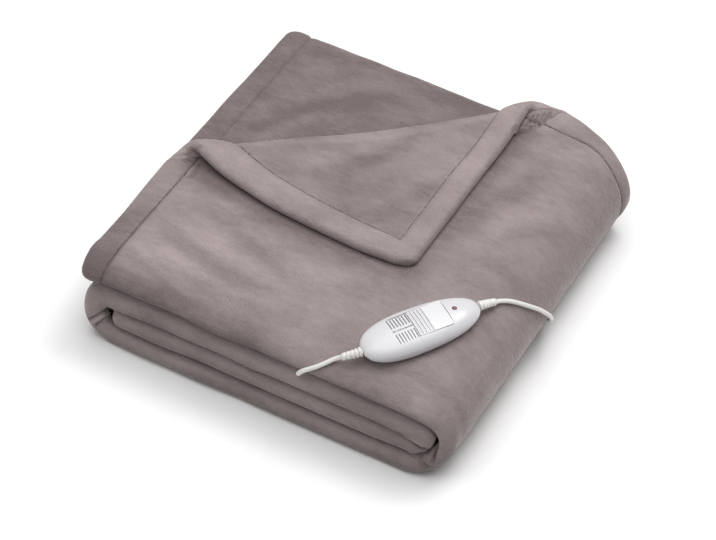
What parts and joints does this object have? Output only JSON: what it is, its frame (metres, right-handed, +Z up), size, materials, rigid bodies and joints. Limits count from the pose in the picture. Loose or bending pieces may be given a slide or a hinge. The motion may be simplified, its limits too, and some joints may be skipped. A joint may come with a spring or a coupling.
{
  "type": "electric heated blanket",
  "caption": "Folded plush heated blanket with one corner turned over, a hand switch with a sliding heat setting, and its mains lead in a tied hank with a plug.",
  "frame": {"origin": "under the middle of the folded cloth, on the surface that it lies on", "axes": "+X towards the wide round fold at the right, +Y from the front folds to the back, +Z up"},
  "size_m": [0.4641, 0.499, 0.1344],
  "materials": {
    "cloth": "plush pile",
    "shell": "gloss",
    "slider": "satin",
    "lens": "clear red",
    "cord": "smooth",
    "tie": "matte",
    "pins": "plated"
  },
  "bodies": {
    "blanket": {"blanket_cloth": "cloth", "switch_lower_shell": "shell", "switch_upper_shell": "shell", "indicator_lens": "lens", "blanket_side_relief": "cord", "mains_side_relief": "cord", "lead_to_blanket": "cord", "mains_lead": "cord", "mains_hank": "cord", "hank_tie": "tie", "plug_tail": "cord", "mains_plug": "shell", "plug_pin_left": "pins", "plug_pin_right": "pins"},
    "slider": {"heat_slider": "slider"}
  },
  "joints": [
    {"name": "heat_setting", "type": "slide", "parent": "blanket", "child": "slider", "axis": [-0.5592, -0.829, 0], "range_m": [0, 0.0235]}
  ]
}
